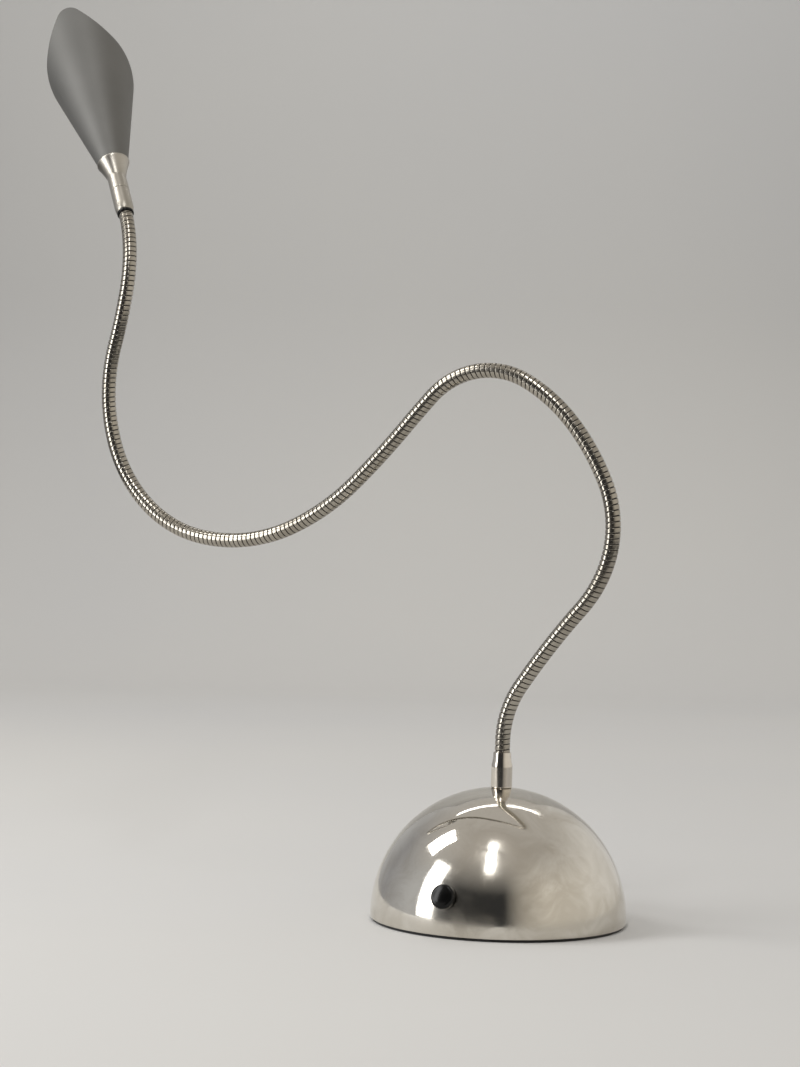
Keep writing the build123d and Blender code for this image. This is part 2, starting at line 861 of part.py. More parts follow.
def biarc(start, leaving, end, arriving):
    """Two arcs from one point and direction to another, joined smoothly."""
    across = end - start
    both = leaving + arriving
    curl = 2 * (1 - leaving.dot(arriving))
    lead = across.dot(both)
    if curl < 1e-9:
        reach = across.dot(across) / (2 * lead)
    else:
        reach = (-lead + math.sqrt(lead**2 + curl * across.dot(across))) / curl
    middle = (start + leaving * reach + end - arriving * reach) * 0.5
    first = Edge.make_tangent_arc(start, leaving, middle)
    second = Edge.make_tangent_arc(end, arriving * -1, middle)
    return first, second


coil_centre = Vector(-coil_outer_radius, coil_centre_y, 0)
coil_turns = 2 * coil_turns_per_layer + 0.5


def coil_point(turns):
    """The coil's centreline: in along the lower layer, up half a turn, out along the upper one."""
    climb = min(max((turns - coil_turns_per_layer) * 2, 0.0), 1.0)
    inward = min(turns, coil_turns_per_layer)
    outward = max(turns - coil_turns_per_layer - 0.5, 0.0)
    radius = coil_outer_radius - coil_pitch * (inward - outward)
    radius -= coil_climb_dip * math.sin(math.pi * climb)
    height = cord_height + coil_layer_rise * (1 - math.cos(math.pi * climb)) / 2
    angle = 2 * math.pi * turns
    return coil_centre + Vector(radius * math.cos(angle), radius * math.sin(angle), height)


def coil_tangent(turns):
    step = 0.002
    return (coil_point(turns + step) - coil_point(turns - step)).normalized()


def coil_path():
    """Quarter-turn biarcs, with a straight end one cord diameter long at each side."""
    quarters = round(coil_turns * 4)
    start_tangent = Vector(0, 1, 0)
    end_tangent = Vector(0, math.copysign(1, math.cos(2 * math.pi * coil_turns)), 0)
    places = [coil_point(quarter / 4) for quarter in range(quarters + 1)]
    tangents = [coil_tangent(quarter / 4) for quarter in range(quarters + 1)]
    tangents[0] = start_tangent
    tangents[-1] = end_tangent
    straight = 2 * cord_radius
    edges = [Edge.make_line(places[0] - start_tangent * straight, places[0])]
    for number in range(quarters):
        edges += biarc(places[number], tangents[number], places[number + 1], tangents[number + 1])
    edges.append(Edge.make_line(places[-1], places[-1] + end_tangent * straight))
    return Wire(edges), places[0] - start_tangent * straight, places[-1] + end_tangent * straight


coil_wire, coil_start, coil_end = coil_path()


def tube_along(wire, start, facing, radius):
    sideways = Vector(0, 0, 1)
    return sweep(Plane(origin=start, x_dir=sideways, z_dir=facing) * Circle(radius), path=wire)


def fair_radii(points):
    """For each corner, 0.45 of the shorter run, over the tangent of half the turn."""
    radii = []
    for before, corner, after in zip(points, points[1:], points[2:]):
        run_in = Vector(*corner) - Vector(*before)
        run_out = Vector(*after) - Vector(*corner)
        turn = math.radians(run_in.get_angle(run_out))
        shorter = min(run_in.length, run_out.length)
        radii.append(0.45 * shorter / math.tan(turn / 2))
    return radii


def free_run(name, points):
    """A stretch of cord: straight runs joined by tangent arcs."""
    radii = fair_radii(points)
    path = FilletPolyline(*points, radius=radii)
    first = Vector(*points[1]) - Vector(*points[0])
    solid = tube_along(path, points[0], first, cord_radius)
    expected = math.pi * cord_radius**2 * path.length
    print(name, "length", round(path.length, 1), "radii", [round(radius) for radius in radii])
    print(name, "volume", round(solid.volume), "of", round(expected))
    save(name, solid)
    return path.length


def least_coil_gap():
    """The smallest gap between the coil's turns, measured on points of its centreline."""
    count = 900
    spots = [tuple(coil_wire.position_at(index / count)) for index in range(count + 1)]
    skip = round(0.4 * count / coil_turns)
    least = 1e9
    for index, spot in enumerate(spots):
        for other in spots[index + skip:]:
            least = min(least, math.dist(spot, other))
    return least - 2 * cord_radius


def save_cord():
    """The run from the gland to the coil, the coil, and the tail to the plug."""
    end = coil_start.Y
    start = relief_end
    step = (end - start) / 3
    run_points = [
        (0, start, gland_height),
        (0, start + 0.8 * step, gland_height),
        (0, start + 2.1 * step, cord_height),
        (0, end, cord_height),
    ]
    length = free_run("mains_cord", run_points)
    coil = tube_along(coil_wire, coil_start, Vector(0, 1, 0), cord_radius)
    print("cord_coil length", round(coil_wire.length, 1), "least gap", round(least_coil_gap(), 2))
    print("cord_coil volume", round(coil.volume), "of", round(math.pi * cord_radius**2 * coil_wire.length))
    save("cord_coil", coil)
    length += coil_wire.length + free_run("cord_tail", tail_points)
    print("cord from gland to plug", round(length))


plug_height = plug_thickness / 2 + plug_lift
tail_points = [
    (coil_end.X, coil_end.Y, coil_end.Z),
    (coil_end.X, coil_end.Y - 15, coil_end.Z),
    (coil_end.X + 4, coil_end.Y - 33, plug_height + 0.8),
    (coil_end.X + 2, coil_end.Y - 50, plug_height),
    (coil_end.X + 2, coil_end.Y - 64, plug_height),
]
plug_plane = Plane(origin=tail_points[-1], x_dir=(1, 0, 0), z_dir=(0, -1, 0))


def rounded_outline(width, height, radius, offset):
    return Plane.XY.offset(offset) * RectangleRounded(width, height, radius)


def plug_body():
    body = loft(
        [
            rounded_outline(plug_rear_width, plug_rear_thickness, 4.0, 0),
            rounded_outline(plug_width - 6, plug_thickness, 5.0, plug_length * 0.45),
            rounded_outline(plug_width, plug_thickness, 5.0, plug_length),
        ],
        ruled=True,
    )
    for x in (-plug_pin_spacing / 2, plug_pin_spacing / 2):
        body -= post(plug_pin_radius + running, 8, x, 0, plug_length - 7)
    return plug_plane * body


def plug_pins():
    pins = []
    for x in (-plug_pin_spacing / 2, plug_pin_spacing / 2):
        pin = post(plug_pin_radius, plug_pin_length + 6 - plug_pin_radius, x, 0, plug_length - 6)
        tip = Pos(x, 0, plug_length + plug_pin_length - plug_pin_radius) * Sphere(plug_pin_radius)
        pins.append(plug_plane * (pin + tip))
    return pins


save("base_pad", base_pad())
save("base_plate", base_plate())
save("base_plate_screws", *plate_screws())
save("ballast_ring", ballast_ring())
save("ballast_screws", *ballast_screws())
save("dome_shell", dome_shell())
save("transformer_core", transformer_core())
save("transformer_winding", transformer_winding())
save("transformer_strap", transformer_strap())
save("transformer_screws", *transformer_screws())
save("terminal_block", terminal_block())
save("terminal_screws", *terminal_screws())
save("dimmer_module", dimmer_module())
save("dimmer_nut", dimmer_nut())
save("dimmer_spindle", dimmer_spindle())
save("dimmer_knob", dimmer_knob())
save("neck_ferrule", neck_ferrule())
save("neck_nipple", neck_nipple())
save("neck_washer", neck_washer())
save("neck_nut", neck_nut())
save_neck()
save("neck_end_ring", neck_end_ring())
save("head_sleeve", head_sleeve())
save("sleeve_screw", sleeve_screw())
save("shade_cup", shade_cup())
save("shade", shade())
save("lamp_holder", lamp_holder())
save("holder_screws", *holder_screws())
save("lamp_capsule", lamp_capsule())
save("lamp_pins", *lamp_pins())
save("lamp_filament", lamp_filament())
save("lead_head", head_lead())
save("cord_gland", cord_gland())
save("gland_nut", gland_nut())
save("inner_cord", inner_cord())
save_cord()
save("plug_body", plug_body())
save("plug_pins", *plug_pins())
print("head axis", head_axis, "neck end", neck_end)
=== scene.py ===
import bpy
import json
import math
from mathutils import Matrix, Vector


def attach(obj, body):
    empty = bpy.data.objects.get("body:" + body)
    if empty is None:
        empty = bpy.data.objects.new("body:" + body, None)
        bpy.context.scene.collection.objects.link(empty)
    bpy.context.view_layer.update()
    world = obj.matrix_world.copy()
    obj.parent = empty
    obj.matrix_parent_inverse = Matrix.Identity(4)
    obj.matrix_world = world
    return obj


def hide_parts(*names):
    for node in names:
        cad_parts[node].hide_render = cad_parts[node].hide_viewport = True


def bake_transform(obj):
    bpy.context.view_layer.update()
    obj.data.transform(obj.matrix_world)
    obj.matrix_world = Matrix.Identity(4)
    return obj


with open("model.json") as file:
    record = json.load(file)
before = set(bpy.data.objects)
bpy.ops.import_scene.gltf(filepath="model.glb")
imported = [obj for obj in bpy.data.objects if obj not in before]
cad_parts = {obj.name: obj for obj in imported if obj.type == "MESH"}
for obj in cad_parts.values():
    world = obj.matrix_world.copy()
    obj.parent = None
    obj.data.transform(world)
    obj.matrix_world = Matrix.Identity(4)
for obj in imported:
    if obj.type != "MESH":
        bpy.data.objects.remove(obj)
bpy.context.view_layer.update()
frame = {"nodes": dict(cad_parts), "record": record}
nodes = frame["nodes"]
scene = bpy.context.scene

MM = 0.001

# Sizes shared with the CAD source, in millimetres
DOME_RADIUS = 98.7
DOME_CENTRE = 4.5
DOME_WALL = 1.5
RIM_HEIGHT = 2.0
NIPPLE_HOLE = 5.1
FERRULE_RADIUS = 8.2
FERRULE_HEIGHT = 27.3
FERRULE_FOOT = DOME_CENTRE + math.sqrt(DOME_RADIUS**2 - NIPPLE_HOLE**2)
NECK_SOCKET_DEPTH = 13.0
NECK_START = FERRULE_FOOT + FERRULE_HEIGHT - NECK_SOCKET_DEPTH
CAD_PITCH = 5.2
BORE_RADIUS = 3.4
TUBE_SOCKET = 6.0
LEAD_RADIUS = 2.1
LEAD_START = 58.0
CORD_RADIUS = 2.9
CORD_HEIGHT = 3.0
KNOB_ELEVATION = 15.0
KNOB_FOOT = 99.5
KNOB_RADIUS = 9.35
KNOB_HEIGHT = 6.4
SHADE_TURN = 24.0

# The photograph's viewing direction, in degrees round from the front towards +X, and the camera's roll
CAMERA_TURN = 27.0
CAMERA_ROLL = 1.6

# The gooseneck's stretches: name, and arcs of (ribs, heading, sideways lean) as in the CAD source
NECK = (
    ("neck_foot", ((4, 0, 0),)),
    ("neck_bend_1", ((9, 35, 0),)),
    ("neck_span_1", ((3, 36, 0),)),
    ("neck_bend_2", ((12, 42, 0),)),
    ("neck_span_2", ((6, 24, 0),)),
    ("neck_bend_3", ((14, -24, 0),)),
    ("neck_span_3", ((10, -40, 0), (10, -61, 0))),
    ("neck_bend_4", ((17, -136, 0),)),
    ("neck_span_4", ((6, -138, 0), (12, -133, 0), (13, -114, 0))),
    ("neck_bend_5", ((18, -78, 0),)),
    ("neck_span_5", ((11, -48, 0), (12, -18, 0))),
    ("neck_bend_6", ((16, 15.5, 0),)),
    ("neck_span_6", ((8, 6, 6), (15, -31, 21), (2, -31, 21))),
)

# The bands that show: a wound strip with narrow grooves
BAND_PITCH = 4.15
BAND_PROFILE = (
    (0.00, 5.10),
    (0.42, 5.12),
    (0.48, 5.72),
    (0.56, 5.86),
    (0.70, 5.90),
    (0.88, 5.905),
    (2.22, 5.92),
    (3.50, 5.905),
    (3.68, 5.90),
    (3.82, 5.86),
    (3.90, 5.72),
    (3.96, 5.12),
)
BAND_SIDES = 40
# How far inside its outermost bands a bend starts to turn
BEND_INSET = 7.8


# Small helpers

def piece(name, vertices, faces, material, groups=None, extra=()):
    """A smooth mesh object from points in millimetres. Groups say which faces take an extra material."""
    mesh = bpy.data.meshes.new(name)
    mesh.from_pydata([Vector(v) * MM for v in vertices], [], faces)
    mesh.materials.append(material)
    for other in extra:
        mesh.materials.append(other)
    if groups:
        mesh.polygons.foreach_set("material_index", groups)
    mesh.polygons.foreach_set("use_smooth", [True] * len(mesh.polygons))
    mesh.update()
    made = bpy.data.objects.new(name, mesh)
    scene.collection.objects.link(made)
    return made


def around(radius, angle):
    """The two coordinates of a point on a circle, by angle in radians."""
    return radius * math.cos(angle), radius * math.sin(angle)


def frame_matrix(origin, x_axis, z_axis):
    """A rotation and place, from an origin, an X direction and a Z direction."""
    z = Vector(z_axis).normalized()
    x = Vector(x_axis)
    x = (x - z * x.dot(z)).normalized()
    y = z.cross(x)
    matrix = Matrix((x, y, z)).transposed().to_4x4()
    matrix.translation = Vector(origin)
    return matrix


def lathe(name, profile, material, matrix=None, segments=128, closed=False):
    """Turn a line of (radius, height) about the Z axis. Points on the axis become one vertex."""
    vertices = []
    rings = []
    for radius, height in profile:
        if radius < 1e-6:
            rings.append([len(vertices)] * segments)
            vertices.append(Vector((0, 0, height)))
            continue
        rings.append(list(range(len(vertices), len(vertices) + segments)))
        for step in range(segments):
            angle = 2 * math.pi * step / segments
            vertices.append(Vector((*around(radius, angle), height)))
    if closed:
        rings.append(rings[0])
    faces = []
    for lower, upper in zip(rings, rings[1:]):
        for step in range(segments):
            after = (step + 1) % segments
            corners = [lower[step], lower[after], upper[after], upper[step]]
            corners = list(dict.fromkeys(corners))
            if len(corners) > 2:
                faces.append(corners)
    if matrix is not None:
        vertices = [matrix @ vertex for vertex in vertices]
    return piece(name, vertices, faces, material)


def arc_points(centre, radius, first, last, count):
    """Points of a circle's arc in a profile, by angle in degrees."""
    points = []
    for step in range(count + 1):
        across, up = around(radius, math.radians(first + (last - first) * step / count))
        points.append((centre[0] + across, centre[1] + up))
    return points


def sharpen(made, angle=50):
    """Keep edges sharper than an angle crisp."""
    made.data.set_sharp_from_angle(angle=math.radians(angle))


# Materials

class NodeTree:
    """A short way to build a node tree."""

    def __init__(self, tree):
        self.tree = tree

    def add(self, kind, **values):
        node = self.tree.nodes.new(kind)
        for key, value in values.items():
            setattr(node, key, value)
        return node

    def link(self, source, output, target, entry):
        self.tree.links.new(source.outputs[output], target.inputs[entry])

    def ramp(self, source, output, stops):
        """Colours between stops, each a position and a colour."""
        made = self.add("ShaderNodeValToRGB")
        ends = made.color_ramp.elements
        while len(ends) < len(stops):
            ends.new(0.5)
        for end, (at, colour) in zip(ends, stops):
            end.position = at
            end.color = (*colour, 1)
        self.link(source, output, made, "Fac")
        return made


class Shader(NodeTree):
    """A material with its surface shader."""

    def __init__(self, name):
        self.material = bpy.data.materials.new(name)
        self.material.use_nodes = True
        super().__init__(self.material.node_tree)
        self.surface = self.tree.nodes["Principled BSDF"]

    def set(self, **values):
        """Values of the surface, by the names of its inputs with underscores."""
        for key, value in values.items():
            self.surface.inputs[key.replace("_", " ")].default_value = value

    def place(self, scale=(1, 1, 1)):
        where = self.add("ShaderNodeTexCoord")
        turn = self.add("ShaderNodeMapping")
        turn.inputs["Scale"].default_value = scale
        self.link(where, "Object", turn, "Vector")
        return turn

    def noise(self, place, scale, detail=4.0, roughness=0.5, distortion=0.0):
        made = self.add("ShaderNodeTexNoise")
        made.inputs["Scale"].default_value = scale
        made.inputs["Detail"].default_value = detail
        made.inputs["Roughness"].default_value = roughness
        made.inputs["Distortion"].default_value = distortion
        self.link(place, "Vector", made, "Vector")
        return made

    def vary(self, source, output, entry, low, high):
        """One input of the surface, between a low and a high stop of a noise."""
        self.link(self.ramp(source, output, [low, high]), "Color", self.surface, entry)

    def bump(self, source, output, strength, distance):
        made = self.add("ShaderNodeBump")
        made.inputs["Strength"].default_value = strength
        made.inputs["Distance"].default_value = distance
        self.link(source, output, made, "Height")
        self.link(made, "Normal", self.surface, "Normal")


def grey(value):
    return (value, value, value)


def polished_nickel(name, bright, tarnish, smooth, dull):
    """Polished nickel plate, with milky blotches of tarnish in some regions and fine wipe marks."""
    shader = Shader(name)
    shader.set(Metallic=1.0)
    blotch = shader.noise(shader.place(), 34.0, 7.0, 0.62, 0.9)
    region = shader.noise(shader.place(), 9.0, 2.0, 0.5)
    amount = shader.add("ShaderNodeMath", operation="MULTIPLY")
    shader.link(blotch, "Fac", amount, 0)
    shader.link(region, "Fac", amount, 1)
    shader.vary(amount, "Value", "Base Color", (0.16, bright), (0.36, tarnish))
    shader.vary(amount, "Value", "Roughness", (0.18, grey(smooth)), (0.38, grey(dull)))
    wipe = shader.noise(shader.place((1, 1, 7)), 420.0, 3.0, 0.6)
    shader.bump(wipe, "Fac", 0.04, 0.0001)
    return shader.material


def satin_metal(name, light, dark, rough):
    """Satin sheet metal, blasted to an even sheen."""
    shader = Shader(name)
    shader.set(Metallic=0.8)
    cloud = shader.noise(shader.place(), 18.0, 3.0, 0.5)
    shader.vary(cloud, "Fac", "Base Color", (0.3, dark), (0.7, light))
    grain = shader.noise(shader.place(), 2600.0, 2.0, 0.7)
    shader.vary(grain, "Fac", "Roughness", (0.3, grey(rough - 0.04)), (0.7, grey(rough + 0.04)))
    shader.bump(grain, "Fac", 0.08, 0.00006)
    return shader.material


def plain_metal(name, light, dark, rough, scale=60.0, metallic=1.0):
    """Plated, painted or turned metal with a little unevenness."""
    shader = Shader(name)
    shader.set(Metallic=metallic)
    cloud = shader.noise(shader.place(), scale, 4.0, 0.6)
    shader.vary(cloud, "Fac", "Base Color", (0.3, dark), (0.7, light))
    shader.vary(cloud, "Fac", "Roughness", (0.3, grey(rough - 0.06)), (0.7, grey(rough + 0.08)))
    fine = shader.noise(shader.place(), scale * 30, 2.0, 0.6)
    shader.bump(fine, "Fac", 0.08, 0.0001)
    return shader.material


def moulded(name, light, dark, rough, grain=1800.0, depth=0.1, shine=0.5):
    """Moulded plastic, rubber or ceramic with a fine grain."""
    shader = Shader(name)
    shader.set(Specular_IOR_Level=shine)
    fine = shader.noise(shader.place(), grain, 2.0, 0.6)
    cloud = shader.noise(shader.place(), 40.0, 3.0, 0.5)
    shader.vary(cloud, "Fac", "Base Color", (0.3, dark), (0.7, light))
    shader.vary(cloud, "Fac", "Roughness", (0.3, grey(rough - 0.05)), (0.7, grey(rough + 0.05)))
    shader.bump(fine, "Fac", depth, 0.0001)
    return shader.material


def felt(name):
    """Pressed felt with tangled fibres."""
    shader = Shader(name)
    shader.set(Roughness=0.95, Sheen_Weight=0.3)
    fibre = shader.noise(shader.place(), 900.0, 6.0, 0.8, 1.5)
    shader.vary(fibre, "Fac", "Base Color", (0.35, grey(0.012)), (0.65, grey(0.05)))
    shader.bump(fibre, "Fac", 0.6, 0.0004)
    return shader.material


def clear_glass(name):
    """Clear glass with a faint unevenness."""
    shader = Shader(name)
    shader.set(Roughness=0.03, IOR=1.46, Transmission_Weight=1.0)
    cloud = shader.noise(shader.place(), 300.0, 2.0, 0.5)
    shader.vary(cloud, "Fac", "Base Color", (0.3, (0.93, 0.95, 0.95)), (0.7, (0.98, 0.99, 0.99)))
    return shader.material


NICKEL = polished_nickel("dome_nickel", (0.77, 0.74, 0.68), (0.60, 0.56, 0.49), 0.05, 0.24)
# Painted shade: the neck's bands take a darker copy of the same polished nickel
SHADED_BAND_NICKEL = polished_nickel("neck_nickel_painted_shade", (0.45, 0.42, 0.365), (0.35, 0.32, 0.27), 0.17, 0.27)
TRIM_NICKEL = polished_nickel("trim_nickel", (0.74, 0.70, 0.63), (0.66, 0.61, 0.54), 0.06, 0.13)
# Painted shade: the sleeve and cup take a darker copy of the same polished nickel
SHADED_HEAD_NICKEL = polished_nickel("head_nickel_painted_shade", (0.50, 0.47, 0.42), (0.40, 0.375, 0.325), 0.33, 0.42)
# Painted shade: a near-black material for the groove faces between the bands, standing in for the shade in
# the grooves
GROOVE_SHADE = plain_metal("groove_painted_shade", (0.035, 0.032, 0.028), (0.015, 0.014, 0.012), 0.7, 200.0, 0.3)
SATIN = satin_metal("shade_satin", (0.22, 0.217, 0.207), (0.195, 0.192, 0.182), 0.61)
ZINC = plain_metal("zinc_plated", (0.62, 0.63, 0.65), (0.48, 0.49, 0.5), 0.35)
IRON = plain_metal("black_iron", (0.05, 0.05, 0.05), (0.025, 0.025, 0.025), 0.6, 90.0, 0.2)
LAMINATIONS = plain_metal("laminations", (0.16, 0.16, 0.17), (0.08, 0.08, 0.085), 0.5, 300.0, 0.7)
TAPE = moulded("winding_tape", (0.75, 0.58, 0.18), (0.62, 0.46, 0.12), 0.45, 700.0, 0.3)
BRASS = plain_metal("brass", (0.72, 0.53, 0.25), (0.58, 0.42, 0.18), 0.3)
BLACK = moulded("black_plastic", grey(0.005), grey(0.003), 0.2, depth=0.05, shine=0.25)
WHITE = moulded("white_plastic", grey(0.8), grey(0.72), 0.45)
CERAMIC = moulded("ceramic", (0.84, 0.82, 0.77), (0.76, 0.74, 0.7), 0.6, 2500.0, 0.3)
LEAD = moulded("lead_sleeve", grey(0.3), grey(0.22), 0.6)
CORD = moulded("cord_sheath", grey(0.02), grey(0.012), 0.42, 1200.0, 0.15)
FELT = felt("felt_pad")
GLASS = clear_glass("quartz")
WIRE = plain_metal("tungsten", (0.4, 0.4, 0.42), (0.3, 0.3, 0.31), 0.3, 500.0)

SLOT_MATERIALS = {
    "dark_felt": FELT,
    "zinc_plated_steel": ZINC,
    "black_iron": IRON,
    "polished_nickel": TRIM_NICKEL,
    "satin_metal": SATIN,
    "black_plastic": BLACK,
    "white_plastic": WHITE,
    "laminated_steel": LAMINATIONS,
    "taped_copper": TAPE,
    "grey_lead": LEAD,
    "black_cord": CORD,
    "brass": BRASS,
    "ceramic": CERAMIC,
    "clear_glass": GLASS,
    "tungsten": WIRE,
}


def dress_cad_nodes():
    """Each CAD node that stays gets the material of its slot."""
    for part in frame["record"]["subparts"]:
        node = nodes[part["node"]]
        material = SLOT_MATERIALS[part["material_slot"]]
        node.data.materials.clear()
        node.data.materials.append(material)


# The gooseneck's centreline

STEADY = Vector((0, 1, 0))


def direction(heading, lean):
    """A direction by its heading from straight up towards +X, and its lean towards +Y, in degrees."""
    turn = math.radians(heading)
    tilt = math.radians(lean)
    return Vector((math.sin(turn) * math.cos(tilt), math.sin(tilt), math.cos(turn) * math.cos(tilt)))


class Arc:
    """A stretch that turns evenly from one direction to another."""

    def __init__(self, start, first, last, length):
        self.start = start
        self.first = first
        self.last = last
        self.length = length
        self.turn = first.angle(last, 0.0)
        self.inward = Vector((0, 0, 0))
        if self.turn > 1e-6:
            self.inward = (last - first * math.cos(self.turn)) / math.sin(self.turn)

    def point(self, along):
        if self.turn < 1e-6 or along < 0:
            return self.start + self.first * along
        if along > self.length:
            return self.point(self.length) + self.last * (along - self.length)
        radius = self.length / self.turn
        angle = along / radius
        ahead = self.first * (radius * math.sin(angle))
        return self.start + ahead + self.inward * (radius * (1 - math.cos(angle)))

    def tangent(self, along):
        angle = self.turn * min(max(along / self.length, 0.0), 1.0)
        return self.first * math.cos(angle) + self.inward * math.sin(angle)


def lay_out_neck():
    """Every arc with its start along the neck, and each stretch's first and last length."""
    arcs = []
    stretches = {}
    place = Vector((0, 0, NECK_START))
    facing = direction(0, 0)
    along = 0.0
    for name, pieces in NECK:
        begin = along
        for ribs, heading, lean in pieces:
            towards = direction(heading, lean)
            arc = Arc(place, facing, towards, ribs * CAD_PITCH)
            arcs.append((along, arc))
            along += arc.length
            place = arc.point(arc.length)
            facing = towards
        stretches[name] = (begin, along)
    return arcs, stretches, place, facing


neck_arcs, stretches, neck_end, head_axis = lay_out_neck()
neck_length = neck_arcs[-1][0] + neck_arcs[-1][1].length


def on_neck(along):
    """The point, direction and two sideways directions at a length along the neck."""
    chosen = neck_arcs[0]
    for begin, arc in neck_arcs:
        if along >= begin:
            chosen = (begin, arc)
    begin, arc = chosen
    tangent = arc.tangent(along - begin)
    sideways = (STEADY - tangent * STEADY.dot(tangent)).normalized()
    return arc.point(along - begin), tangent, sideways, tangent.cross(sideways)


def on_tube(along, radius, angle):
    """A point on a round tube about the neck's line."""
    point, _, sideways, other = on_neck(along)
    return point + (sideways * math.cos(angle) + other * math.sin(angle)) * radius


def banded(name, first_band, last_band):
    """A stretch of the wound strip, as one helical surface between two bands' grooves."""
    rows = []
    for band in range(first_band, last_band):
        for offset, radius in BAND_PROFILE:
            rows.append((band * BAND_PITCH + offset, radius))
    rows.append((last_band * BAND_PITCH, BAND_PROFILE[0][1]))
    per_band = len(BAND_PROFILE)
    vertices = []
    for start, radius in rows:
        for side in range(BAND_SIDES + 1):
            share = side / BAND_SIDES
            vertices.append(on_tube(start + share * BAND_PITCH, radius, 2 * math.pi * share))
    width = BAND_SIDES + 1
    count = len(rows)
    # The end of each turn of the strip is the start of the next turn
    joined = {}
    for row in range(count - per_band):
        joined[row * width + BAND_SIDES] = (row + per_band) * width
    faces = []
    groups = []
    # The rows in each groove take the near-black material, painted shade in the grooves
    groove_rows = (0, 1, per_band - 2, per_band - 1)
    for row in range(count - 1):
        for side in range(BAND_SIDES):
            corners = (
                row * width + side,
                row * width + side + 1,
                (row + 1) * width + side + 1,
                (row + 1) * width + side,
            )
            faces.append([joined.get(corner, corner) for corner in corners])
            groups.append(1 if row % per_band in groove_rows else 0)
    made = piece(name, vertices, faces, SHADED_BAND_NICKEL, groups=groups, extra=(GROOVE_SHADE,))
    return made


def band_at(along):
    """The band nearest to a length along the neck."""
    return round(along / BAND_PITCH)


def bent_ends(first_band, last_band):
    """Where a bend starts and stops turning."""
    start, _, _, _ = on_neck(first_band * BAND_PITCH + BEND_INSET)
    stop, _, _, _ = on_neck(last_band * BAND_PITCH - BEND_INSET + BAND_PITCH)
    return start * MM, stop * MM


def body_name(number):
    """The body after a joint of the neck, counted from the base."""
    return "base" if number == 0 else f"neck_{number}"


def build_neck():
    """Spans ride on their bodies; each bend's mesh is left where it lies, on no body.
    """
    for name, _ in NECK:
        begin, end = stretches[name]
        first_band = band_at(begin)
        last_band = band_at(end)
        if name == "neck_span_6":
            last_band = math.floor(neck_length / BAND_PITCH) - 1
        made = banded("bands_" + name[5:], first_band, last_band)
        number = 0 if name == "neck_foot" else int(name[-1])
        if "bend" in name:
            start, stop = bent_ends(first_band, last_band)
            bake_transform(made)
        else:
            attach(made, body_name(number))
        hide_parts(name)


def lead_along(name, places):
    """A stretch of the lead, by its places along the neck."""
    sides = 16
    vertices = []
    for along in places:
        for side in range(sides):
            vertices.append(on_tube(along, LEAD_RADIUS, 2 * math.pi * side / sides))
    faces = []
    for row in range(len(places) - 1):
        here = row * sides
        there = here + sides
        for side in range(sides):
            after = (side + 1) % sides
            faces.append((here + side, here + after, there + after, there + side))
    last = (len(places) - 1) * sides
    faces.append(tuple(reversed(range(sides))))
    faces.append(tuple(range(last, last + sides)))
    made = piece(name, vertices, faces, LEAD)
    return made


def build_leads():
    """The leads inside the neck: the foot's rides on the base, the others stay where they lie."""
    foot_begin = LEAD_START - NECK_START
    foot_end = stretches["neck_foot"][1]
    foot = lead_along("lead_in_foot", [foot_begin, 0.0, foot_end])
    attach(foot, "base")
    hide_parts("lead_foot")
    spacing = 4.0
    past_the_neck = 2.5
    for number in range(1, 7):
        bend = stretches[f"neck_bend_{number}"]
        begin = bend[0]
        end = stretches[f"neck_span_{number}"][1]
        if number == 6:
            end += past_the_neck
        steps = round((end - begin) / spacing)
        places = [begin + (end - begin) * step / steps for step in range(steps + 1)]
        lead = lead_along(f"lead_in_neck_{number}", places)
        start, stop = bent_ends(band_at(bend[0]), band_at(bend[1]))
        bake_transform(lead)
        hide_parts(f"lead_{number}")


# Base

def build_dome():
    """The polished dome, with a rolled rim and its thickness underneath."""
    rim_round = DOME_WALL / 2
    inner = DOME_RADIUS - DOME_WALL
    nearly_up = 89.9
    inside = arc_points((0, DOME_CENTRE), inner, nearly_up, 0, 48)
    inside[0] = (0, DOME_CENTRE + inner)
    rim = arc_points((inner + rim_round, RIM_HEIGHT + rim_round), rim_round, 180, 360, 10)
    outside = arc_points((0, DOME_CENTRE), DOME_RADIUS, 0, nearly_up, 96)
    outside[-1] = (0, DOME_CENTRE + DOME_RADIUS)
    dome = lathe("dome", inside + rim + outside, NICKEL, segments=256)
    sharpen(dome)
    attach(dome, "base")
    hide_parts("dome_shell")


KNOB_RISE = math.radians(KNOB_ELEVATION)
KNOB_OUT = Vector((0, -math.cos(KNOB_RISE), math.sin(KNOB_RISE)))
KNOB_MATRIX = frame_matrix((0, 0, DOME_CENTRE), (1, 0, 0), KNOB_OUT)


def build_knob():
    """The dimmer's knob: a fine bevel at its foot, a rounded edge and a domed face."""
    top = KNOB_FOOT + KNOB_HEIGHT
    spindle_hole = 3.05
    hollow = 7.0
    hollow_top = KNOB_FOOT + 2.6
    bevel = 0.3
    edge = 2.4
    crown = 1.0
    face = KNOB_RADIUS - edge
    profile = [(spindle_hole, hollow_top), (hollow, hollow_top), (hollow, KNOB_FOOT)]
    profile += [(KNOB_RADIUS - bevel, KNOB_FOOT), (KNOB_RADIUS, KNOB_FOOT + bevel)]
    profile += arc_points((face, top - crown - edge), edge, 0, 78, 14)
    sphere = (face**2 + crown**2) / (2 * crown)
    steps = 11
    for step in range(steps + 1):
        radius = face * 0.96 * (1 - step / steps)
        profile.append((radius, top - sphere + math.sqrt(sphere**2 - radius**2)))
    knob = lathe("knob", profile, BLACK, KNOB_MATRIX)
    sharpen(knob)
    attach(knob, "dimmer")
    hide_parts("dimmer_knob")


